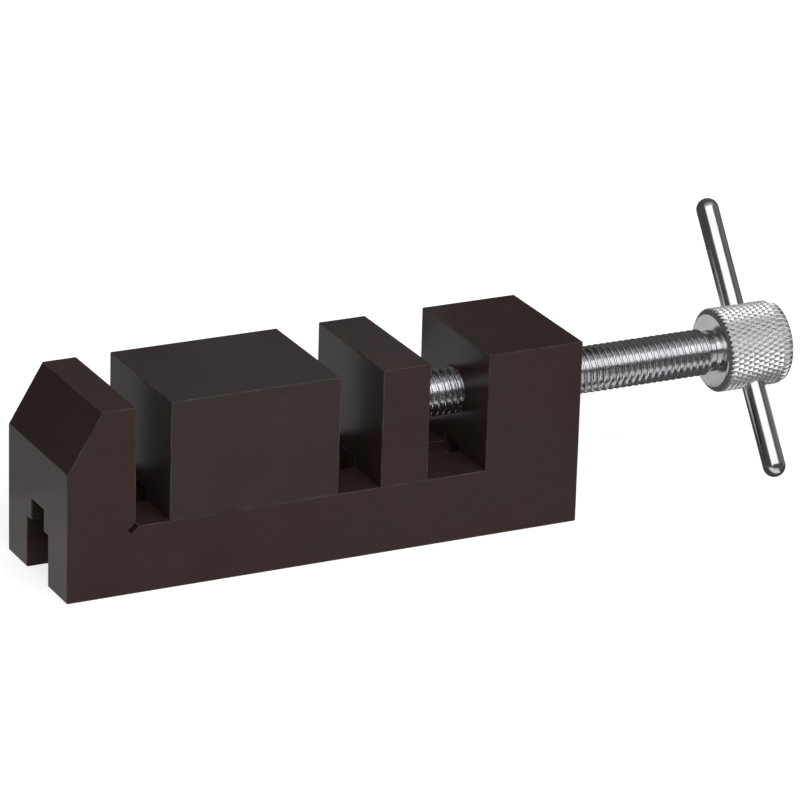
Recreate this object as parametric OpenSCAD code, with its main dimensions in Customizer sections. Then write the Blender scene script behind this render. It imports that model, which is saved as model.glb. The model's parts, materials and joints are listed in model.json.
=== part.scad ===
// Toolmaker vise: a one-piece steel frame with a fixed jaw and a threaded end,
// a sliding jaw block, a moving jaw, and a screw spindle with a knurled head and tommy bar.
// X runs along the vise towards the spindle head, Y across it, Z up.
// The origin is on the base plane, at the middle of the frame's length and width.
// The jaws and the spindle are drawn part open.

/* [Frame] */
// Length of the frame
frame_l = 115; // [106:0.5:140]
// Width of the frame, the jaw block and the moving jaw
frame_w = 31; // [26:0.5:44]
// Height of the frame, to the top of the jaws
frame_h = 40; // [36:0.5:52]
// Height of the bed, from the base to the floor between the jaws
bed_h = 14.6; // [13:0.1:17]
// Thickness of the fixed jaw
fixed_jaw_t = 14.8; // [11:0.1:20]
// Thickness of the threaded end
end_t = 21.7; // [16:0.1:28]
// Length of the slope on the fixed jaw's nose
nose_run = 7.4; // [3:0.1:9.5]
// Drop of the slope on the fixed jaw's nose
nose_drop = 12.4; // [4:0.1:18]
// Width of the grinding relief in the corner under the fixed jaw
relief_w = 1.2; // [0.6:0.1:2]
// Depth of the grinding relief, along its diagonal
relief_deep = 1.7; // [1:0.1:3.2]

/* [Guide slot] */
// Width of the guide slot in the floor of the bed
slot_w = 6.4; // [5:0.1:7]
// Width of the wider channel below the guide slot
channel_w = 10.9; // [9.6:0.1:14]
// Thickness of the lips between the channel and the floor
lip_t = 3.5; // [2.5:0.1:5]
// Height of the guide slot's end above the floor, under the jaw and the end
slot_rise = 1.2; // [0.6:0.1:2.5]

/* [Jaw block] */
// Length of the jaw block
block_l = 37.4; // [28:0.1:46]
// Gap between the fixed jaw and the jaw block, as drawn
front_gap = 7.45; // [4.5:0.05:14]
// Length of the T-gib under the jaw block
block_gib_l = 32; // [26:0.5:36]
// Spacing of the two gib screws under the jaw block
block_screw_gap = 18; // [10:0.5:22]

/* [Moving jaw] */
// Thickness of the moving jaw
jaw_t = 10.7; // [9:0.1:15]
// Gap between the jaw block and the moving jaw, as drawn
work_gap = 9.6; // [4.5:0.1:16]
// Depth of the blind socket that the spindle's tip turns in
socket_deep = 6.5; // [5:0.1:8]
// Length of the gib's foot behind the moving jaw
foot_l = 11.3; // [4:0.1:18]

/* [Gibs] */
// Thickness of the gib's flange
gib_t = 4; // [3:0.1:5]
// Height of the gib's key in the keyway of its jaw
key_rise = 2.5; // [1.5:0.1:3.2]
// Diameter of the gib screws
gib_screw_d = 4; // [3:0.1:4.4]
// Diameter of the gib screws' countersunk heads
gib_screw_head_d = 7.5; // [6.5:0.1:8]
// Length of the gib screws
gib_screw_l = 14; // [12:0.1:14.8]

/* [Spindle] */
// Outside diameter of the spindle's thread
screw_d = 10; // [8:0.1:12]
// Pitch of the spindle's thread
pitch = 1.5; // [1:0.25:2]
// Height of the spindle's axis above the floor of the bed
screw_rise = 12.5; // [11.8:0.1:16]
// Length of the spindle between the moving jaw and the head
reach = 74.6; // [60:0.1:100]
// Depth of the neck beside the head, below the thread's crest
neck_cut = 0.6; // [0.3:0.05:0.9]
// Length of the neck beside the head, with its run-out groove
neck_l = 1.5; // [1.2:0.1:6]
// Depth of the run-out groove between the thread and the neck, below the thread's crest
runout_cut = 1.4; // [1:0.05:1.6]
// Width of the run-out groove
runout_w = 0.9; // [0.5:0.1:1.4]
// Depth of the tip's step, below the thread's crest
tip_cut = 0.9; // [0.7:0.05:1.4]
// Depth of the ring groove in the tip
groove_cut = 0.8; // [0.4:0.05:1.2]
// Lead-in chamfer at the thread's start
lead_in = 0.7; // [0.3:0.05:0.7]
// Diameter of the pin that holds the tip in the moving jaw
pin_d = 2; // [1.5:0.1:2.6]
// Length of that pin
pin_l = 20; // [19:0.1:21]

/* [Head and tommy bar] */
// Diameter of the knurled head
head_d = 18.1; // [15:0.1:24]
// Length of the knurled head
head_l = 15.7; // [13:0.1:20]
// Length of the chamfer on the head's inner end, along the axis
inner_chamfer_l = 0.9; // [0.5:0.1:2]
// Depth of the chamfer on the head's inner end
inner_chamfer_deep = 1.1; // [0.3:0.1:2]
// Length of the chamfer on the head's outer end, along the axis
outer_chamfer_l = 1.2; // [0.5:0.1:2.4]
// Depth of the chamfer on the head's outer end
outer_chamfer_deep = 0.5; // [0.3:0.1:2]
// Distance from the head's inner face to the tommy bar's axis
bar_inset = 8.2; // [6:0.1:9.2]
// Diameter of the tommy bar
bar_d = 4.9; // [3:0.1:6]
// Length of the tommy bar
bar_l = 62.6; // [45:0.1:80]
// How far the tommy bar is pushed through, from its middle
bar_shift = 2; // [-6:0.1:6]
// Lean of the tommy bar from upright, its upper end to the back
bar_lean = 35.4; // [0:0.1:90]
// Height of the tommy bar's rounded ends, as a share of its radius
bar_round = 0.96; // [0.3:0.02:0.98]

/* [Fits] */
// Running clearance round the spindle
run_fit = 0.05; // [0.02:0.01:0.1]
// Clearance of the tommy bar in its hole
bar_fit = 0.03; // [0.01:0.01:0.1]
// Clearance of the gibs in the guide slot, at each side
slide_fit = 0.05; // [0.02:0.01:0.15]
// Clearance of the gibs' flanges in the channel
channel_fit = 0.25; // [0.1:0.05:0.4]
// Clearance of pieces that are pressed or screwed together
seat_fit = 0.02; // [0.01:0.01:0.05]
// Clearance of the gib screws in the gibs
screw_fit = 0.15; // [0.1:0.05:0.3]
// End play of the spindle's tip in the moving jaw
end_play = 0.1; // [0.05:0.05:0.3]

/* [Hidden] */
$fn = 96;

// How far a cutter runs past the face that it opens
over = 1;

// Faces along X, from the nose to the head
left_x = -frame_l / 2;
right_x = frame_l / 2;
fixed_x = left_x + fixed_jaw_t;
end_x = right_x - end_t;
block_x0 = fixed_x + front_gap;
block_x1 = block_x0 + block_l;
block_mid_x = (block_x0 + block_x1) / 2;
jaw_x0 = block_x1 + work_gap;
jaw_x1 = jaw_x0 + jaw_t;
jaw_mid_x = (jaw_x0 + jaw_x1) / 2;
head_x = jaw_x1 + reach;
bar_x = head_x + bar_inset;

// Levels up Z
channel_h = bed_h - lip_t;
slot_top_z = bed_h + slot_rise;
key_top_z = bed_h + key_rise;
screw_z = bed_h + screw_rise;
gib_top_z = channel_h - slide_fit;
gib_base_z = gib_top_z - gib_t;

// Shares of the thread's pitch: its depth, and the width of its crest
thread_share = 0.6;
crest_share = 0.12;

// Spindle
screw_r = screw_d / 2;
root_r = screw_r - thread_share * pitch;
neck_r = screw_r - neck_cut;
runout_r = screw_r - runout_cut;
tip_r = screw_r - tip_cut;
groove_r = tip_r - groove_cut;
tip_l = socket_deep - end_play;
groove_w = pin_d + 2 * end_play;

// Pin that holds the spindle's tip
pin_r = pin_d / 2;
pin_x = jaw_x1 - socket_deep / 2;
pin_z = screw_z + groove_r + run_fit + pin_r;
back_y = frame_w / 2;

// Gibs
gib_w = channel_w - 2 * channel_fit;
stem_w = slot_w - 2 * slide_fit;

// Tommy bar
bar_r = bar_d / 2;
bar_dome = bar_round * bar_r;
bar_mid_l = bar_l - 2 * bar_dome;
dome_r = (bar_r * bar_r + bar_dome * bar_dome) / (2 * bar_dome);

black_oxide = [0.22, 0.19, 0.18];
block_black = [0.22, 0.20, 0.19];
bright_plate = [0.75, 0.75, 0.77];
bare_steel = [0.52, 0.52, 0.53];

// Extrudes a side outline, drawn as X and Z, across the vise
module across(width) {
    rotate([90, 0, 0]) linear_extrude(width, center = true) children();
}

// Extrudes a cross-section, drawn as Y and Z, along the vise
module along(x0, x1) {
    translate([x0, 0, 0]) rotate([90, 0, 90]) linear_extrude(x1 - x0) children();
}

// Turns a solid that stands on Z to lie along X, on the spindle's axis
module on_spindle_axis(x) {
    translate([x, 0, screw_z]) rotate([0, 90, 0]) children();
}

// Leans a solid that stands on Z to lie along the tommy bar's axis
module on_bar_axis() {
    translate([bar_x, 0, screw_z]) rotate([-bar_lean, 0, 0]) children();
}

// Straight hole for the tommy bar, through the head and the spindle's shank
module bar_hole() {
    on_bar_axis() cylinder(r = bar_r + bar_fit, h = head_d + 2 * over, center = true);
}

// Stepped section of the guide slot and its channel, open at the base
module slot_section() {
    polygon([
        [-channel_w / 2, -over], [channel_w / 2, -over], [channel_w / 2, channel_h],
        [slot_w / 2, channel_h], [slot_w / 2, slot_top_z], [-slot_w / 2, slot_top_z],
        [-slot_w / 2, channel_h], [-channel_w / 2, channel_h]
    ]);
}

// T-shaped section of a gib, with its stem up to a given level
module gib_section(top_z) {
    polygon([
        [-gib_w / 2, gib_base_z], [gib_w / 2, gib_base_z], [gib_w / 2, gib_top_z],
        [stem_w / 2, gib_top_z], [stem_w / 2, top_z], [-stem_w / 2, top_z],
        [-stem_w / 2, gib_top_z], [-gib_w / 2, gib_top_z]
    ]);
}

// Keyway for a gib, along the underside of its jaw
module keyway(x0, x1) {
    along(x0 - over, x1 + over) translate([-slot_w / 2, bed_h - over]) square([slot_w, key_rise + over]);
}

// Countersunk gib screw, standing head down on the gib's underside, with a clearance all round
module gib_screw(x, fit, more_l) {
    head_h = (gib_screw_head_d - gib_screw_d) / 2;
    translate([x, 0, gib_base_z]) {
        cylinder(d1 = gib_screw_head_d + 2 * fit, d2 = gib_screw_d + 2 * fit, h = head_h);
        cylinder(d = gib_screw_d + 2 * fit, h = gib_screw_l + more_l);
    }
}

// Blind threaded hole for a gib screw, in the underside of its jaw
module gib_screw_hole(x) {
    gib_screw(x, seat_fit, over);
}

// Places of the two gib screws under the jaw block
block_screw_x = [for (side = [-1, 1]) block_mid_x + side * block_screw_gap / 2];

// Frame: bed, fixed jaw with its sloped nose, and threaded end
module vise_body() {
    color(black_oxide) difference() {
        across(frame_w) polygon([
            [left_x, 0], [right_x, 0], [right_x, frame_h], [end_x, frame_h], [end_x, bed_h],
            [fixed_x, bed_h], [fixed_x, frame_h], [left_x + nose_run, frame_h],
            [left_x, frame_h - nose_drop]
        ]);
        along(left_x - over, right_x + over) slot_section();
        across(frame_w + 2 * over) translate([fixed_x, bed_h]) rotate(225)
            translate([-relief_w / 2, -relief_w / 2]) square([relief_deep + relief_w / 2, relief_w]);
        on_spindle_axis(end_x - over) cylinder(r = screw_r + run_fit, h = end_t + 2 * over);
        on_spindle_axis(right_x - lead_in)
            cylinder(r1 = screw_r + run_fit, r2 = screw_r + run_fit + lead_in + over, h = lead_in + over);
    }
}

// Jaw block: slides on the bed between the fixed jaw and the moving jaw
module jaw_block() {
    color(block_black) difference() {
        translate([block_x0, -frame_w / 2, bed_h]) cube([block_l, frame_w, frame_h - bed_h]);
        keyway(block_x0, block_x1);
        for (x = block_screw_x) gib_screw_hole(x);
    }
}

// T-gib that guides the jaw block and holds it down
module block_gib() {
    color(bare_steel) difference() {
        along(block_mid_x - block_gib_l / 2, block_mid_x + block_gib_l / 2) gib_section(key_top_z);
        for (x = block_screw_x) gib_screw(x, screw_fit, 0);
    }
}

// The two countersunk screws that draw the gib up into the jaw block
module block_gib_screws() {
    color(bare_steel) for (x = block_screw_x) gib_screw(x, 0, 0);
}

// Moving jaw: a plate with a blind socket for the spindle's tip
module moving_jaw() {
    color(black_oxide) difference() {
        translate([jaw_x0, -frame_w / 2, bed_h]) cube([jaw_t, frame_w, frame_h - bed_h]);
        keyway(jaw_x0, jaw_x1);
        gib_screw_hole(jaw_mid_x);
        on_spindle_axis(jaw_x1 - socket_deep) cylinder(r = tip_r + run_fit, h = socket_deep + over);
        translate([pin_x, back_y + over, pin_z]) rotate([90, 0, 0])
            cylinder(r = pin_r + seat_fit, h = pin_l + 2 * end_play + over);
    }
}

// T-gib of the moving jaw, with a foot that runs back under the spindle
module jaw_gib() {
    color(black_oxide) difference() {
        union() {
            along(jaw_x0, jaw_x1) gib_section(key_top_z);
            along(jaw_x1, jaw_x1 + foot_l) gib_section(bed_h - slide_fit);
        }
        gib_screw(jaw_mid_x, screw_fit, 0);
    }
}

// The countersunk screw that draws the gib up into the moving jaw
module jaw_gib_screw() {
    color(bare_steel) gib_screw(jaw_mid_x, 0, 0);
}

// Pin across the moving jaw, in the ring groove of the spindle's tip
module jaw_retaining_pin() {
    color(bare_steel) translate([pin_x, back_y - end_play, pin_z]) rotate([90, 0, 0])
        cylinder(r = pin_r, h = pin_l);
}

// Profile of the thread between two places along the spindle, with a root and a crest in each pitch
function thread_profile(x0, x1) = [
    for (k = [1 : floor((x1 - x0) / pitch)]) each [
        [screw_r, x0 + (k - 1 + crest_share / 2) * pitch],
        [root_r, x0 + (k - 1 / 2) * pitch],
        [screw_r, x0 + (k - crest_share / 2) * pitch]
    ]
];

// Spindle: grooved tip, thread, run-out groove, neck, and the shank that carries the head
module spindle() {
    tip_x = jaw_x1 - tip_l;
    groove_x = pin_x - tip_x;
    thread_x = tip_l + end_play;
    runout_x = tip_l + reach - neck_l;
    neck_x = runout_x + runout_w;
    end_face_x = tip_l + reach + head_l;
    tip = [
        [0, 0], [tip_r, 0], [tip_r, groove_x - groove_w / 2], [groove_r, groove_x - groove_w / 2],
        [groove_r, groove_x + groove_w / 2], [tip_r, groove_x + groove_w / 2], [tip_r, thread_x],
        [screw_r - lead_in, thread_x], [screw_r, thread_x + lead_in]
    ];
    neck = [
        [screw_r, runout_x - runout_cut], [runout_r, runout_x], [runout_r, neck_x], [neck_r, neck_x],
        [neck_r, end_face_x], [0, end_face_x]
    ];
    color(bright_plate) difference() {
        on_spindle_axis(tip_x) rotate_extrude()
            polygon(concat(tip, thread_profile(thread_x + lead_in, runout_x - runout_cut), neck));
        bar_hole();
    }
}

// Head: a knurled collar with chamfered ends, bored for the shank and cross-drilled for the bar
module knurled_head() {
    head_r = head_d / 2;
    inner_r = head_r - inner_chamfer_deep;
    outer_r = head_r - outer_chamfer_deep;
    bore_r = neck_r + seat_fit;
    color(bright_plate) difference() {
        on_spindle_axis(head_x) rotate_extrude() polygon([
            [bore_r, 0], [inner_r, 0], [head_r, inner_chamfer_l], [head_r, head_l - outer_chamfer_l],
            [outer_r, head_l], [bore_r, head_l]
        ]);
        bar_hole();
    }
}

// Tommy bar: a plain rod with rounded ends, a push fit in the head
module tommy_bar() {
    color(bright_plate) on_bar_axis() translate([0, 0, bar_shift]) {
        cylinder(r = bar_r, h = bar_mid_l, center = true);
        for (side = [0, 1]) mirror([0, 0, side]) translate([0, 0, bar_mid_l / 2]) intersection() {
            cylinder(r = bar_r, h = bar_dome);
            translate([0, 0, bar_dome - dome_r]) sphere(r = dome_r);
        }
    }
}

vise_body();
jaw_block();
block_gib();
block_gib_screws();
moving_jaw();
jaw_gib();
jaw_gib_screw();
jaw_retaining_pin();
spindle();
knurled_head();
tommy_bar();
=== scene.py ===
"""Looks of the toolmaker vise: rounded black steel, a cut thread, a knurled head and a polished bar.

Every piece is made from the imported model's own sizes, in metres, in the same frame:
X along the vise towards the spindle head, Y to the back, Z up from the base.
"""

import json
import math

import bmesh
import bpy
from mathutils import Matrix, Vector


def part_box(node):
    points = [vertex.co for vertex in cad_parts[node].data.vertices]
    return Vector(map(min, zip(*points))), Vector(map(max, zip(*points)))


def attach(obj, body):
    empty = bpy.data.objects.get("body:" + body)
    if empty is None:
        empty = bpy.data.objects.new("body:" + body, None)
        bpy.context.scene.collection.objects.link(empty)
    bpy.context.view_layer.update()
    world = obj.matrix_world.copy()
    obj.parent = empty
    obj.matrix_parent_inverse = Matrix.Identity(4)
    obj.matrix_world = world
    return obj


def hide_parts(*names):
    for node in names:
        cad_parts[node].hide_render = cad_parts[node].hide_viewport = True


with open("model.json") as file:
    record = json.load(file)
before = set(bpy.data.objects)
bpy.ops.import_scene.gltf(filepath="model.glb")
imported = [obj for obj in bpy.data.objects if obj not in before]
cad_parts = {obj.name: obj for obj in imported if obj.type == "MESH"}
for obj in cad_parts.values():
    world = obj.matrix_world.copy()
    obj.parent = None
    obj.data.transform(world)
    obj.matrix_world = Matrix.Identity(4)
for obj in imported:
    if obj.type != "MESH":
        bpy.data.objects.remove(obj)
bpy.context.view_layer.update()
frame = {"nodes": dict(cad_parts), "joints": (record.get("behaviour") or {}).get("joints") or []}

MM = 0.001
MICRON = 0.000001

# Edges of the black pieces and of the small steel ones
BLACK_EDGE = 0.22 * MM
STEEL_EDGE = 0.15 * MM
EDGE_STEPS = 3
SHARP_ANGLE = math.radians(28)
FLAT_ANGLE = math.radians(0.5)
WELD = 0.002 * MM

# Thread of the spindle, and the plain lengths beside it
PITCH = 1.5 * MM
CORE_R = 4.1 * MM
NECK_R = 4.4 * MM
NECK_L = 1.5 * MM
RUNOUT_R = 3.6 * MM
RUNOUT_W = 0.9 * MM
GROOVE_CUT = 0.8 * MM
GROOVE_ROOM = 0.1 * MM
TIP_EDGE = 0.3 * MM
NECK_EDGE = 0.15 * MM
ROD_SIDES = 72
# One turn of the thread: place along the pitch, and rise from the core to the crest
THREAD_TURN = (
    (0.00, 0.00), (0.09, 0.00), (0.15, 0.08), (0.40, 0.86),
    (0.45, 0.97), (0.49, 1.00), (0.60, 1.00), (0.64, 0.97), (0.69, 0.86), (0.94, 0.08),
)

# Knurled head: diamonds round it and along it, and the length and depth of the chamfers on its ends
KNURLS_ROUND = 48
KNURLS_LONG = 11
KNURL_DEEP = 0.43 * MM
KNURL_TOP = 0.16
INNER_CHAMFER = (0.9 * MM, 1.1 * MM)
OUTER_CHAMFER = (1.2 * MM, 0.5 * MM)
RIM_EDGE = 0.12 * MM
RIM_ANGLE = math.radians(8)
BORE_ROOM = 0.02 * MM

# Bar hole, across the head and the spindle's shank
BAR_ROOM = 0.03 * MM
HOLE_SIDES = 64

# Bar: rise of its domed ends as a share of its radius, and how far it stays inside the CAD bar
BAR_ROUND = 0.96
BAR_LESS = 0.006 * MM
BAR_SIDES = 64
DOME_STEPS = 14
DOME_SEAM = 0.15 * MM

# Driver slots of the gib screws
DRIVER_SLOT_W = 1.0 * MM
DRIVER_SLOT_DEEP = 0.9 * MM

# Metals: mirror strength of the black oxide, and depths of the fine marks
BLACK_IOR = 1.17
GRAIN_DEEP = 1.2 * MICRON
SPECK_DEEP = 0.8 * MICRON
KNURL_MARKS_DEEP = 2.0 * MICRON

# Camera, found from the photo's edges
CAMERA_PLACE = Vector((-0.40467, -0.84559, 0.38958))
CAMERA_AZIMUTH = math.radians(-26.850)
CAMERA_ELEVATION = math.radians(20.961)
CAMERA_ROLL = math.radians(1.689)
CAMERA_LENS_MM = 220.59
CAMERA_SENSOR_MM = 36

# Studio
FLOOR_HALF = 4.0
FLOOR_COLOUR = (0.8, 0.8, 0.8)
FLOOR_ROUGH = 0.9
FLOOR_WHITE = 0.75
FLOOR_DROP = 0.05 * MM
SOFTBOX_AIM = Vector((0.03, 0.0, 0.025))
SOFTBOX_FAR = 1.45
SOFTBOX_SIZE = (2.1, 1.2)
LAMP_FROM = Vector((0.08, -0.81, 0.58))
LAMP_WATTS = 15.5
FILL_FROM = Vector((0.10, 0.86, 0.50))
FILL_WATTS = 4.0
FACE_FROM = Vector((-0.16, -0.665, 0.74))
FACE_SHADE = 2.1
ROOM_DARK = (0.10, 0.10, 0.103)
ROOM_PALE = (0.27, 0.27, 0.285)
ROOM_PALE_WAY = Vector((0.41, 0.84, 0.34)).normalized()
ROOM_DARK_AT = 0.86
ROOM_PALE_AT = 0.97
# Cards of the studio that only mirror in the metal: name, two opposite corners and shade
CARDS = (
    ("card_behind", (0.016, 0.055, 0.016), (0.300, 0.055, 0.055), 0.09),
    ("card_corner", (0.062, 0.055, 0.055), (0.300, 0.055, 0.080), 0.09),
    ("card_beside", (0.064, 0.000, 0.040), (0.064, 0.055, 0.080), 0.09),
    ("card_near", (0.070, -0.030, 0.002), (0.070, -0.008, 0.030), 0.09),
    # card_below and the two cards after it are dark sheets that give painted shade under the spindle
    # and the head, seen only in the metal.
    ("card_below", (0.060, -0.020, 0.0004), (0.260, 0.042, 0.0004), 0.09),
    ("card_below_back", (0.101, 0.042, 0.0004), (0.260, 0.120, 0.0004), 0.09),
    ("card_below_front", (0.109, -0.050, 0.0004), (0.220, -0.020, 0.0004), 0.09),
    ("card_before", (0.0745, -0.050, 0.001), (0.350, -0.050, 0.034), 0.09),
    ("card_gap", (0.0235, -0.0170, 0.0185), (0.0357, -0.0170, 0.0310), 0.09),
    ("card_over", (-0.300, -0.220, 0.500), (0.600, 0.060, 0.500), 0.50),
    ("card_right", (0.600, -0.300, 0.020), (0.600, 0.180, 0.420), 0.25),
    ("card_grey", (0.040, 0.043, 0.0004), (0.100, 0.110, 0.0004), 0.50),
    ("card_left", (-0.110, 0.040, 0.0004), (-0.045, 0.160, 0.0004), 0.70),
    ("card_left_near", (-0.110, 0.018, 0.0004), (-0.045, 0.040, 0.0004), 0.92),
    ("card_far", (0.040, 0.300, 0.120), (0.1115, 0.300, 0.200), 0.155),
)


def node_middle(node):
    """Middle of a CAD node's box."""
    low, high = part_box(node)
    return (low + high) / 2


AXIS_Z = node_middle("spindle").z
CREST_R = (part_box("spindle")[1].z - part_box("spindle")[0].z) / 2
HEAD_X0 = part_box("knurled_head")[0].x
HEAD_X1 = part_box("knurled_head")[1].x
HEAD_R = (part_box("knurled_head")[1].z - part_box("knurled_head")[0].z) / 2
BAR_X = node_middle("tommy_bar").x
BAR_R = (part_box("tommy_bar")[1].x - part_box("tommy_bar")[0].x) / 2
BAR_AXIS = Vector(next(j["axis"] for j in frame["joints"] if j["name"] == "bar_slide"))


def link(name, mesh):
    """Turns a bmesh into an object of the scene."""
    data = bpy.data.meshes.new(name)
    mesh.to_mesh(data)
    mesh.free()
    piece = bpy.data.objects.new(name, data)
    bpy.context.scene.collection.objects.link(piece)
    return piece


def dress(piece, body, slot, material, *nodes):
    """Gives a finished piece its body and its material, and hides the CAD nodes that it stands for;
    the slot is not used.
    """
    piece.data.materials.clear()
    piece.data.materials.append(material)
    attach(piece, body)
    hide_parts(*nodes)


def cut(piece, tool):
    """Takes the tool's shape out of the piece, splits its many-sided faces, and removes the tool."""
    step = piece.modifiers.new("cut", "BOOLEAN")
    step.operation = "DIFFERENCE"
    step.solver = "EXACT"
    step.object = tool
    done = piece.evaluated_get(bpy.context.evaluated_depsgraph_get())
    data = bpy.data.meshes.new_from_object(done)
    piece.modifiers.clear()
    piece.data = data
    bpy.data.objects.remove(tool)
    mesh = bmesh.new()
    mesh.from_mesh(data)
    bmesh.ops.remove_doubles(mesh, verts=mesh.verts, dist=WELD / 2)
    bmesh.ops.triangulate(mesh, faces=[f for f in mesh.faces if len(f.verts) > 4])
    mesh.to_mesh(data)
    mesh.free()


def rod_tool(middle, axis, radius, length):
    """A plain rod to cut with."""
    mesh = bmesh.new()
    bmesh.ops.create_cone(
        mesh, cap_ends=True, segments=HOLE_SIDES, radius1=radius, radius2=radius, depth=length
    )
    turn = Vector((0, 0, 1)).rotation_difference(axis).to_matrix().to_4x4()
    bmesh.ops.transform(mesh, matrix=Matrix.Translation(middle) @ turn, verts=mesh.verts)
    return link("rod_tool", mesh)


def block_tool(middle, size):
    """A plain block to cut with."""
    mesh = bmesh.new()
    bmesh.ops.create_cube(mesh, size=1)
    shape = Matrix.Translation(middle) @ Matrix.Diagonal((*size, 1))
    bmesh.ops.transform(mesh, matrix=shape, verts=mesh.verts)
    return link("block_tool", mesh)


def round_edges(mesh, width):
    """Rounds the outer edges of a welded mesh, and marks the new faces with 1, for edges that are worn
    and also carry a painted highlight.
    """
    wear_and_edge_highlight = mesh.faces.layers.float.new("wear_and_edge_highlight")
    for edge in mesh.edges:
        if edge.is_manifold and FLAT_ANGLE < edge.calc_face_angle() < SHARP_ANGLE:
            for face in edge.link_faces:
                face.smooth = True
    outer = [
        e for e in mesh.edges
        if e.is_manifold and e.is_convex and e.calc_face_angle() > SHARP_ANGLE
    ]
    made = bmesh.ops.bevel(
        mesh, geom=outer, offset=width, offset_type="OFFSET", segments=EDGE_STEPS,
        profile=0.5, affect="EDGES", clamp_overlap=False,
    )
    # The new edge faces later get a lighter colour: partly wear, partly a painted highlight.
    for face in made["faces"]:
        face[wear_and_edge_highlight] = 1.0


def rounded_copy(node, name, width):
    """A copy of a CAD node with rounded edges."""
    mesh = bmesh.new()
    mesh.from_mesh(frame["nodes"][node].data)
    for face in mesh.faces:
        face.smooth = False
    bmesh.ops.remove_doubles(mesh, verts=mesh.verts, dist=WELD)
    bmesh.ops.dissolve_limit(mesh, angle_limit=FLAT_ANGLE, verts=mesh.verts, edges=mesh.edges)
    round_edges(mesh, width)
    return link(name, mesh)


def ring(mesh, x, radius, sides):
    """A ring of points round the spindle's axis."""
    turns = [2 * math.pi * j / sides for j in range(sides)]
    return [
        mesh.verts.new((x, radius * math.cos(a), AXIS_Z + radius * math.sin(a))) for a in turns
    ]


def skin(mesh, first, second):
    """Faces between two rings with as many points."""
    count = len(first)
    for j in range(count):
        k = (j + 1) % count
        mesh.faces.new((first[j], first[k], second[k], second[j])).smooth = True


def turned(mesh, outline, sides):
    """Turns an outline of (x, radius) pairs into rings and the faces between them."""
    rings = [ring(mesh, x, r, sides) for x, r in outline]
    for first, second in zip(rings, rings[1:]):
        skin(mesh, first, second)
    return rings


def cut_thread(mesh, x0, x1):
    """A right-hand thread whose ends run out to the core."""
    turns = math.ceil((x1 - x0) / PITCH) + 2
    rows = []
    for turn in range(turns):
        for place, rise in THREAD_TURN:
            row = []
            for j in range(ROD_SIDES):
                x = x0 + PITCH * (turn - 1 + place + j / ROD_SIDES)
                height = min(rise * (CREST_R - CORE_R), max(x - x0, 0), max(x1 - x, 0))
                angle = 2 * math.pi * j / ROD_SIDES
                radius = CORE_R + height
                x = min(max(x, x0), x1)
                row.append(mesh.verts.new(
                    (x, radius * math.cos(angle), AXIS_Z + radius * math.sin(angle))
                ))
            rows.append(row)
    per_turn = len(THREAD_TURN)
    for k in range(len(rows) - 1):
        for j in range(ROD_SIDES):
            if j + 1 < ROD_SIDES:
                near, far = rows[k][j + 1], rows[k + 1][j + 1]
            elif k + 1 + per_turn < len(rows):
                near, far = rows[k + per_turn][0], rows[k + 1 + per_turn][0]
            else:
                continue
            mesh.faces.new((rows[k][j], near, far, rows[k + 1][j])).smooth = True


def close_up(mesh, sharp):
    """Welds what meets, drops what has no area, turns all faces outwards and keeps sharp edges."""
    bmesh.ops.remove_doubles(mesh, verts=mesh.verts, dist=WELD)
    bmesh.ops.dissolve_degenerate(mesh, edges=mesh.edges, dist=WELD / 4)
    bmesh.ops.recalc_face_normals(mesh, faces=mesh.faces)
    for edge in mesh.edges:
        if edge.is_manifold and edge.calc_face_angle() > sharp:
            edge.smooth = False


def make_spindle():
    """Grooved tip, thread, neck and shank in one piece."""
    low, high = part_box("spindle")
    pin = node_middle("jaw_retaining_pin")
    pin_low, pin_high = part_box("jaw_retaining_pin")
    groove = (pin_high.x - pin_low.x) / 2 + GROOVE_ROOM
    thread_x0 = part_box("moving_jaw")[1].x
    thread_x1 = HEAD_X0 - NECK_L
    mesh = bmesh.new()
    tip = turned(mesh, [
        (low.x, CORE_R - TIP_EDGE), (low.x + TIP_EDGE, CORE_R),
        (pin.x - groove, CORE_R), (pin.x - groove, CORE_R - GROOVE_CUT),
        (pin.x + groove, CORE_R - GROOVE_CUT), (pin.x + groove, CORE_R), (thread_x0, CORE_R),
    ], ROD_SIDES)
    cut_thread(mesh, thread_x0, thread_x1)
    neck_x = thread_x1 + RUNOUT_W
    shank = turned(mesh, [
        (thread_x1, CORE_R), (thread_x1, RUNOUT_R), (neck_x, RUNOUT_R),
        (neck_x, NECK_R - NECK_EDGE), (neck_x + NECK_EDGE, NECK_R), (HEAD_X0, NECK_R),
        (high.x - TIP_EDGE, NECK_R), (high.x, NECK_R - TIP_EDGE),
    ], ROD_SIDES)
    mesh.faces.new(tip[0])
    mesh.faces.new(shank[-1])
    close_up(mesh, SHARP_ANGLE)
    piece = link("spindle_threaded", mesh)
    middle = Vector((BAR_X, 0, AXIS_Z))
    cut(piece, rod_tool(middle, BAR_AXIS, BAR_R + BAR_ROOM, 3 * HEAD_R))
    return piece


def knurl_point(mesh, x, turn, radius):
    """A point of the knurl, with its turn counted in knurls."""
    angle = 2 * math.pi * turn / KNURLS_ROUND
    return mesh.verts.new((x, radius * math.cos(angle), AXIS_Z + radius * math.sin(angle)))


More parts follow.
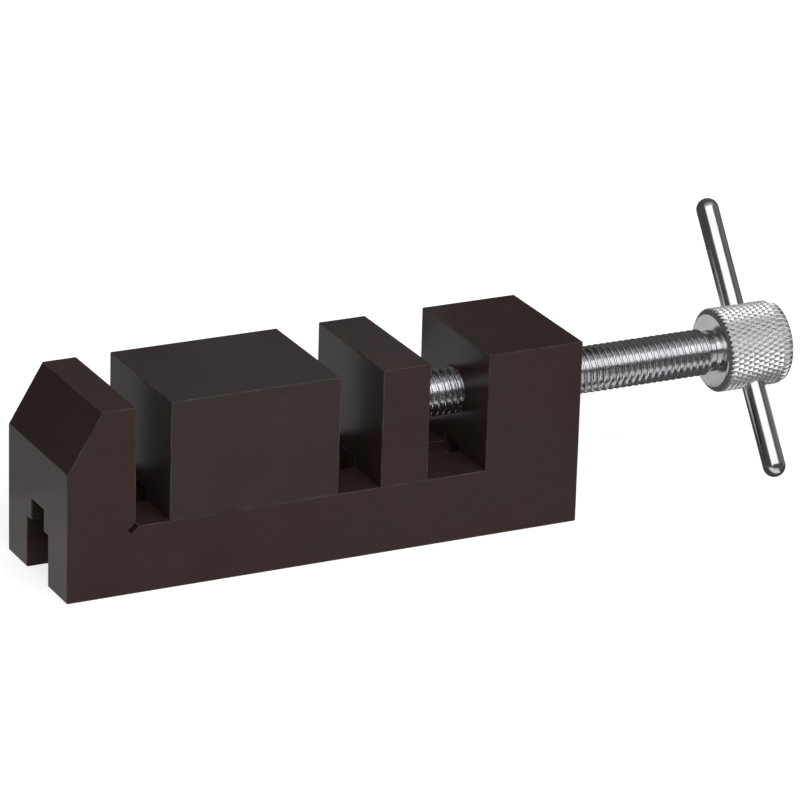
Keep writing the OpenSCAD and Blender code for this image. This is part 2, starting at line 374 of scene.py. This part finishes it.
def knurl_diamond(mesh, place, row, turn):
    """One flat-topped diamond of the knurl, or half of one on the first and last row."""
    base_r = HEAD_R - KNURL_DEEP
    half, top = 0.5, 0.5 * KNURL_TOP
    left = knurl_point(mesh, place(row, base_r), turn - half, base_r)
    right = knurl_point(mesh, place(row, base_r), turn + half, base_r)
    top_left = knurl_point(mesh, place(row, HEAD_R), turn - top, HEAD_R)
    top_right = knurl_point(mesh, place(row, HEAD_R), turn + top, HEAD_R)
    flat = [top_left]
    for side in (1, -1):
        if 0 <= row + side <= KNURLS_LONG:
            end = knurl_point(mesh, place(row + side, base_r), turn, base_r)
            tip = knurl_point(mesh, place(row + side * KNURL_TOP, HEAD_R), turn, HEAD_R)
            mesh.faces.new((left, top_left, tip, end))
            mesh.faces.new((end, tip, top_right, right))
            flat.append(tip)
        if side == 1:
            flat.append(top_right)
    mesh.faces.new(flat)


def make_head():
    """Knurled collar with turned chamfers, bored for the shank and drilled for the bar."""
    knurl_l = HEAD_X1 - HEAD_X0 - INNER_CHAMFER[0] - OUTER_CHAMFER[0]
    base_r = HEAD_R - KNURL_DEEP

    def place(row, radius):
        """X of a row, run out along the chamfer's cone on the first and last row."""
        x = HEAD_X0 + INNER_CHAMFER[0] + row * knurl_l / KNURLS_LONG
        if row == 0:
            return x - (HEAD_R - radius) * INNER_CHAMFER[0] / INNER_CHAMFER[1]
        if row == KNURLS_LONG:
            return x + (HEAD_R - radius) * OUTER_CHAMFER[0] / OUTER_CHAMFER[1]
        return x

    mesh = bmesh.new()
    for row in range(KNURLS_LONG + 1):
        for n in range(KNURLS_ROUND):
            knurl_diamond(mesh, place, row, n + (row % 2) / 2)
    bores = []
    ends = ((0, HEAD_X0, 1, INNER_CHAMFER), (KNURLS_LONG, HEAD_X1, -1, OUTER_CHAMFER))
    for row, face_x, inward, (length, deep) in ends:
        turns = []
        for n in range(KNURLS_ROUND):
            turn = n + (row % 2) / 2
            turns.append((turn - 0.5, base_r))
            turns.append((turn - 0.5 * KNURL_TOP, HEAD_R))
            turns.append((turn + 0.5 * KNURL_TOP, HEAD_R))
        rim_r = HEAD_R - deep
        rings = [[knurl_point(mesh, place(row, r), t, r) for t, r in turns]]
        for x, r in (
            (face_x + inward * RIM_EDGE, rim_r + RIM_EDGE * deep / length),
            (face_x, rim_r - RIM_EDGE),
            (face_x, NECK_R + BORE_ROOM),
        ):
            rings.append([knurl_point(mesh, x, t, r) for t, _ in turns])
        for first, second in zip(rings, rings[1:]):
            skin(mesh, first, second)
        bores.append(rings[-1])
    skin(mesh, bores[0], bores[1])
    turned_part = mesh.faces.layers.float.new("turned")
    for face in mesh.faces:
        face[turned_part] = 1.0 if face.smooth else 0.0
    close_up(mesh, RIM_ANGLE)
    bmesh.ops.triangulate(mesh, faces=mesh.faces)
    piece = link("head_knurled", mesh)
    middle = Vector((BAR_X, 0, AXIS_Z))
    cut(piece, rod_tool(middle, BAR_AXIS, BAR_R + BAR_ROOM, 3 * HEAD_R))
    return piece


def make_bar():
    """Polished rod with domed ends, along the axis that it slides on."""
    middle = node_middle("tommy_bar")
    points = frame["nodes"]["tommy_bar"].data.vertices
    half_l = max((p.co - middle).dot(BAR_AXIS) for p in points) - BAR_LESS
    radius = BAR_R - BAR_LESS
    rise = BAR_ROUND * radius
    dome_r = (radius * radius + rise * rise) / (2 * rise)
    widest = math.asin(radius / dome_r)
    end = [(half_l - rise - DOME_SEAM, radius)]
    for k in range(DOME_STEPS):
        angle = widest * (1 - k / DOME_STEPS)
        end.append((half_l - dome_r + dome_r * math.cos(angle), dome_r * math.sin(angle)))
    mesh = bmesh.new()
    rings = turned(mesh, [(-x, r) for x, r in reversed(end)] + end, BAR_SIDES)
    for last, x in ((rings[0], -half_l), (rings[-1], half_l)):
        tip = mesh.verts.new((x, 0, AXIS_Z))
        for j in range(BAR_SIDES):
            mesh.faces.new((last[j], last[(j + 1) % BAR_SIDES], tip)).smooth = True
    close_up(mesh, SHARP_ANGLE)
    turn = Vector((1, 0, 0)).rotation_difference(BAR_AXIS).to_matrix().to_4x4()
    place = Matrix.Translation(middle) @ turn @ Matrix.Translation((0, 0, -AXIS_Z))
    bmesh.ops.transform(mesh, matrix=place, verts=mesh.verts)
    return link("bar_polished", mesh)


def make_gib_screws(node, name, centres):
    """Gib screws with a driver slot across each head."""
    piece = rounded_copy(node, name, STEEL_EDGE)
    low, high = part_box(node)
    for x in centres:
        middle = Vector((x, 0, low.z))
        size = (DRIVER_SLOT_W, 2 * (high.y - low.y), 2 * DRIVER_SLOT_DEEP)
        cut(piece, block_tool(middle, size))
    return piece


class Finish:
    """A material under construction: its Principled shader and short calls for the nodes round it."""

    def __init__(self, name):
        self.material = bpy.data.materials.new(name)
        self.material.use_nodes = True
        self.tree = self.material.node_tree
        self.shader = self.tree.nodes["Principled BSDF"]
        self.place = self.node("ShaderNodeTexCoord").outputs["Object"]

    def node(self, kind, **settings):
        """A new node with some of its settings."""
        made = self.tree.nodes.new(kind)
        for key, value in settings.items():
            setattr(made, key, value)
        return made

    def join(self, source, target):
        """Links an output to an input."""
        self.tree.links.new(source, target)

    def set(self, **values):
        """Sets plain values on the shader's own sockets."""
        for key, value in values.items():
            self.shader.inputs[key.replace("_", " ")].default_value = value

    def noise(self, stretch, detail=2.0, rough=0.5):
        """Noise whose grains per metre along X, Y and Z are given."""
        mapping = self.node("ShaderNodeMapping")
        mapping.inputs["Scale"].default_value = stretch
        self.join(self.place, mapping.inputs["Vector"])
        noise = self.node("ShaderNodeTexNoise")
        noise.inputs["Scale"].default_value = 1.0
        noise.inputs["Detail"].default_value = detail
        noise.inputs["Roughness"].default_value = rough
        self.join(mapping.outputs["Vector"], noise.inputs["Vector"])
        return noise.outputs["Fac"]

    def ramp(self, fac, *stops):
        """Colours between stops of (place, colour)."""
        ramp = self.node("ShaderNodeValToRGB")
        parts = ramp.color_ramp.elements
        parts[0].position, parts[0].color = stops[0][0], (*stops[0][1], 1)
        parts[1].position, parts[1].color = stops[-1][0], (*stops[-1][1], 1)
        for place, colour in stops[1:-1]:
            part = parts.new(place)
            part.color = (*colour, 1)
        self.join(fac, ramp.inputs["Fac"])
        return ramp.outputs["Color"]

    def blend(self, fac, first, second, mode="MIX"):
        """Mixes two colours, each a socket or a plain colour, by a socket or a number."""
        mix = self.node("ShaderNodeMix", data_type="RGBA", blend_type=mode)
        for value, socket in ((fac, mix.inputs[0]), (first, mix.inputs[6]), (second, mix.inputs[7])):
            if isinstance(value, bpy.types.NodeSocket):
                self.join(value, socket)
            elif isinstance(value, tuple):
                socket.default_value = (*value, 1)
            else:
                socket.default_value = value
        return mix.outputs[2]

    def span(self, fac, low, high, start=0.3, end=0.7):
        """Maps noise from its usual spread, or from a part of it, to a span of values."""
        part = self.node("ShaderNodeMapRange")
        part.inputs["From Min"].default_value = start
        part.inputs["From Max"].default_value = end
        part.inputs["To Min"].default_value = low
        part.inputs["To Max"].default_value = high
        self.join(fac, part.inputs["Value"])
        return part.outputs["Result"]

    def attribute(self, name):
        """A value that the mesh carries."""
        return self.node("ShaderNodeAttribute", attribute_name=name).outputs["Fac"]

    def bump(self, *layers):
        """Stacks bumps of (height socket, depth in metres) on the shader."""
        normal = None
        for height, depth in layers:
            bump = self.node("ShaderNodeBump")
            bump.inputs["Strength"].default_value = 1.0
            bump.inputs["Distance"].default_value = depth
            self.join(height, bump.inputs["Height"])
            if normal is not None:
                self.join(normal, bump.inputs["Normal"])
            normal = bump.outputs["Normal"]
        self.join(normal, self.shader.inputs["Normal"])


def black_steel(name, dark, light, cool, worn_and_highlit):
    """Black-oxide steel: mottled, ground along the vise with a few scratches, thin at the edges, where
    a lighter colour is partly wear and partly a painted highlight.
    """
    finish = Finish(name)
    mottle = finish.noise((55, 55, 55), detail=4, rough=0.6)
    cloud = finish.noise((24, 24, 24), detail=3)
    grain = finish.noise((120, 5200, 5200), detail=2)
    speck = finish.noise((1600, 1600, 1600), detail=2)
    scratch = finish.noise((70, 2100, 2100), detail=1)
    colour = finish.ramp(mottle, (0.3, dark), (0.7, light))
    colour = finish.blend(finish.span(cloud, 0.0, 0.7), colour, cool)
    colour = finish.blend(finish.span(speck, 0.0, 0.25), colour, light)
    colour = finish.blend(finish.span(scratch, 0.0, 0.06, 0.62, 0.76), colour, worn_and_highlit)
    # Rounded edges take the worn colour, partly as wear and partly as a painted edge highlight.
    rubbed_and_highlit = finish.node("ShaderNodeMath", operation="MULTIPLY")
    finish.join(finish.attribute("wear_and_edge_highlight"), rubbed_and_highlit.inputs[0])
    finish.join(finish.span(finish.noise((240, 240, 240), detail=3), 0.05, 0.75), rubbed_and_highlit.inputs[1])
    colour = finish.blend(rubbed_and_highlit.outputs[0], colour, worn_and_highlit)
    finish.join(colour, finish.shader.inputs["Base Color"])
    finish.join(finish.span(mottle, 0.19, 0.28), finish.shader.inputs["Roughness"])
    finish.set(IOR=BLACK_IOR)
    finish.bump((grain, GRAIN_DEEP), (speck, SPECK_DEEP))
    return finish.material


def bright_metal(name, colour, shade, rough, grain, deep):
    """Plated or polished steel with fine marks of the given grain."""
    finish = Finish(name)
    cloud = finish.noise((180, 180, 180), detail=3)
    marks = finish.noise(grain, detail=2)
    finish.join(finish.ramp(cloud, (0.3, shade), (0.7, colour)), finish.shader.inputs["Base Color"])
    finish.join(finish.span(marks, rough * 0.75, rough * 1.25), finish.shader.inputs["Roughness"])
    finish.set(Metallic=1.0)
    finish.bump((marks, deep))
    return finish.material


def knurled_metal(name, colour, shade, rough, turned_shade, turned_rough):
    """Plated steel, satin on the knurl, and darker and smoother on the faces that are turned."""
    finish = Finish(name)
    cloud = finish.noise((180, 180, 180), detail=3)
    marks = finish.noise((2600, 2600, 2600), detail=2)
    turned_part = finish.attribute("turned")
    plating = finish.ramp(cloud, (0.3, shade), (0.7, colour))
    plating = finish.blend(turned_part, plating, turned_shade, "MULTIPLY")
    finish.join(plating, finish.shader.inputs["Base Color"])
    smooth = finish.span(turned_part, rough, turned_rough, 0.0, 1.0)
    varied = finish.node("ShaderNodeMath", operation="MULTIPLY")
    finish.join(smooth, varied.inputs[0])
    finish.join(finish.span(marks, 0.85, 1.15), varied.inputs[1])
    finish.join(varied.outputs[0], finish.shader.inputs["Roughness"])
    finish.set(Metallic=1.0)
    finish.bump((marks, KNURL_MARKS_DEEP))
    return finish.material


def make_pieces():
    """All the pieces, each in place of a CAD node."""
    # Each black steel's worn colour is for its scratches, and on its edges it is also a painted
    # highlight.
    oxide = black_steel(
        "black_oxide", dark=(0.050, 0.028, 0.025), light=(0.064, 0.037, 0.033),
        cool=(0.046, 0.034, 0.031), worn_and_highlit=(0.12, 0.095, 0.085),
    )
    block = black_steel(
        "block_black", dark=(0.048, 0.034, 0.031), light=(0.061, 0.045, 0.040),
        cool=(0.045, 0.038, 0.035), worn_and_highlit=(0.13, 0.115, 0.105),
    )
    bare = bright_metal(
        "bare_steel", colour=(0.30, 0.29, 0.28), shade=(0.22, 0.21, 0.20),
        rough=0.34, grain=(90, 3600, 3600), deep=2.0 * MICRON,
    )
    plate = bright_metal(
        "bright_plate", colour=(0.70, 0.70, 0.72), shade=(0.60, 0.60, 0.62),
        rough=0.22, grain=(2400, 2400, 2400), deep=1.0 * MICRON,
    )
    knurl = knurled_metal(
        "knurled_plate", colour=(0.95, 0.95, 0.94), shade=(0.88, 0.88, 0.87),
        rough=0.44, turned_shade=(0.82, 0.82, 0.82), turned_rough=0.16,
    )
    polish = bright_metal(
        "polished_bar", colour=(0.53, 0.53, 0.52), shade=(0.47, 0.47, 0.46),
        rough=0.20, grain=(3200, 260, 260), deep=0.6 * MICRON,
    )

    copies = (
        ("vise_body", "body_black", BLACK_EDGE, "base", "black_oxide", oxide),
        ("jaw_block", "block_black", BLACK_EDGE, "block", "block_black", block),
        ("moving_jaw", "jaw_black", BLACK_EDGE, "jaw", "black_oxide", oxide),
        ("jaw_gib", "jaw_gib_black", STEEL_EDGE, "jaw", "black_oxide", oxide),
        ("block_gib", "block_gib_steel", STEEL_EDGE, "block", "bare_steel", bare),
        ("jaw_retaining_pin", "retaining_pin", STEEL_EDGE, "jaw", "bare_steel", bare),
    )
    for node, name, edge, body, slot, material in copies:
        dress(rounded_copy(node, name, edge), body, slot, material, node)

    low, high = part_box("block_gib_screws")
    head_r = (high.y - low.y) / 2
    centres = (low.x + head_r, high.x - head_r)
    pair = make_gib_screws("block_gib_screws", "block_gib_screw_pair", centres)
    dress(pair, "block", "bare_steel", bare, "block_gib_screws")
    centre = node_middle("jaw_gib_screw").x
    single = make_gib_screws("jaw_gib_screw", "jaw_gib_screw_slotted", (centre,))
    dress(single, "jaw", "bare_steel", bare, "jaw_gib_screw")

    dress(make_spindle(), "screw", "bright_plate", plate, "spindle")
    dress(make_head(), "screw", "knurled_plate", knurl, "knurled_head")
    dress(make_bar(), "bar", "polished_bar", polish, "tommy_bar")


def make_camera():
    """Camera at the photo's place and angle."""
    data = bpy.data.cameras.new("camera")
    data.lens = CAMERA_LENS_MM
    data.sensor_width = CAMERA_SENSOR_MM
    camera = bpy.data.objects.new("camera", data)
    bpy.context.scene.collection.objects.link(camera)
    back = Vector((
        math.sin(CAMERA_AZIMUTH) * math.cos(CAMERA_ELEVATION),
        -math.cos(CAMERA_AZIMUTH) * math.cos(CAMERA_ELEVATION),
        math.sin(CAMERA_ELEVATION),
    ))
    aim = (-back).to_track_quat("-Z", "Y").to_matrix()
    roll = Matrix.Rotation(CAMERA_ROLL, 3, "Z")
    camera.matrix_world = Matrix.Translation(CAMERA_PLACE) @ (aim @ roll).to_4x4()
    bpy.context.scene.camera = camera


def make_floor():
    """A plain white floor that keeps the vise's shadow."""
    mesh = bmesh.new()
    bmesh.ops.create_grid(mesh, x_segments=8, y_segments=8, size=FLOOR_HALF)
    bmesh.ops.translate(mesh, vec=(0, 0, -FLOOR_DROP), verts=mesh.verts)
    floor = link("floor", mesh)
    material = bpy.data.materials.new("floor_white")
    material.use_nodes = True
    nodes, links = material.node_tree.nodes, material.node_tree.links
    shader = nodes["Principled BSDF"]
    shader.inputs["Base Color"].default_value = (*FLOOR_COLOUR, 1)
    shader.inputs["Roughness"].default_value = FLOOR_ROUGH
    shader.inputs["Specular IOR Level"].default_value = 0.0
    path = nodes.new("ShaderNodeLightPath")
    seen = path.outputs["Is Camera Ray"]
    for other in ("Is Glossy Ray", "Is Transmission Ray"):
        either = nodes.new("ShaderNodeMath")
        either.operation = "MAXIMUM"
        links.new(seen, either.inputs[0])
        links.new(path.outputs[other], either.inputs[1])
        seen = either.outputs[0]
    share = nodes.new("ShaderNodeMath")
    share.operation = "MULTIPLY"
    share.inputs[1].default_value = FLOOR_WHITE
    links.new(seen, share.inputs[0])
    white = nodes.new("ShaderNodeEmission")
    links.new(share.outputs[0], white.inputs["Strength"])
    both = nodes.new("ShaderNodeAddShader")
    links.new(shader.outputs[0], both.inputs[0])
    links.new(white.outputs[0], both.inputs[1])
    links.new(both.outputs[0], nodes["Material Output"].inputs["Surface"])
    floor.data.materials.append(material)


def make_card(name, low, high, shade, turn=Matrix()):
    """A flat card along two of the axes, turned into place, which only mirrors in the metal."""
    flat = next(k for k in range(3) if low[k] == high[k])
    first, second = (k for k in range(3) if k != flat)
    mesh = bmesh.new()
    points = []
    for a, b in ((low, low), (high, low), (high, high), (low, high)):
        place = [low[flat]] * 3
        place[first], place[second] = a[first], b[second]
        points.append(mesh.verts.new(place))
    mesh.faces.new(points)
    bmesh.ops.transform(mesh, matrix=turn, verts=mesh.verts)
    card = link(name, mesh)
    card.visible_camera = False
    card.visible_diffuse = False
    card.visible_shadow = False
    material = bpy.data.materials.new(name)
    material.use_nodes = True
    nodes, links = material.node_tree.nodes, material.node_tree.links
    glow = nodes.new("ShaderNodeEmission")
    glow.inputs["Strength"].default_value = shade
    links.new(glow.outputs[0], nodes["Material Output"].inputs["Surface"])
    card.data.materials.append(material)


def softbox_turn(way):
    """Place and turn of a softbox that stands in a given direction and faces the vise."""
    way = way.normalized()
    facing = (-way).to_track_quat("-Z", "Y").to_matrix().to_4x4()
    return Matrix.Translation(SOFTBOX_AIM + way * SOFTBOX_FAR) @ facing


def make_lamp(name, way, watts):
    """A softbox in a given direction, which lights the vise but doesn't mirror in it."""
    data = bpy.data.lights.new(name, "AREA")
    data.shape = "RECTANGLE"
    data.size, data.size_y = SOFTBOX_SIZE
    data.energy = watts
    lamp = bpy.data.objects.new(name, data)
    bpy.context.scene.collection.objects.link(lamp)
    lamp.matrix_world = softbox_turn(way)
    lamp.visible_glossy = False


def make_light():
    """A wide softbox before the vise, its face as the metal mirrors it, a weak fill and a dim room."""
    make_lamp("softbox", LAMP_FROM, LAMP_WATTS)
    make_lamp("fill", FILL_FROM, FILL_WATTS)
    half_w, half_h = SOFTBOX_SIZE[0] / 2, SOFTBOX_SIZE[1] / 2
    low, high = (-half_w, -half_h, 0), (half_w, half_h, 0)
    make_card("softbox_face", low, high, FACE_SHADE, softbox_turn(FACE_FROM))
    world = bpy.data.worlds.new("room")
    world.use_nodes = True
    bpy.context.scene.world = world
    nodes, links = world.node_tree.nodes, world.node_tree.links
    place = nodes.new("ShaderNodeTexCoord")
    way = nodes.new("ShaderNodeVectorMath")
    way.operation = "DOT_PRODUCT"
    way.inputs[1].default_value = ROOM_PALE_WAY
    ramp = nodes.new("ShaderNodeValToRGB")
    stops = ramp.color_ramp.elements
    stops[0].position, stops[0].color = ROOM_DARK_AT, (*ROOM_DARK, 1)
    stops[1].position, stops[1].color = ROOM_PALE_AT, (*ROOM_PALE, 1)
    links.new(place.outputs["Generated"], way.inputs[0])
    links.new(way.outputs["Value"], ramp.inputs["Fac"])
    links.new(ramp.outputs["Color"], nodes["Background"].inputs["Color"])


make_camera()
make_floor()
for card in CARDS:
    make_card(*card)
make_light()
make_pieces()
bpy.context.scene.view_settings.view_transform = "Standard"
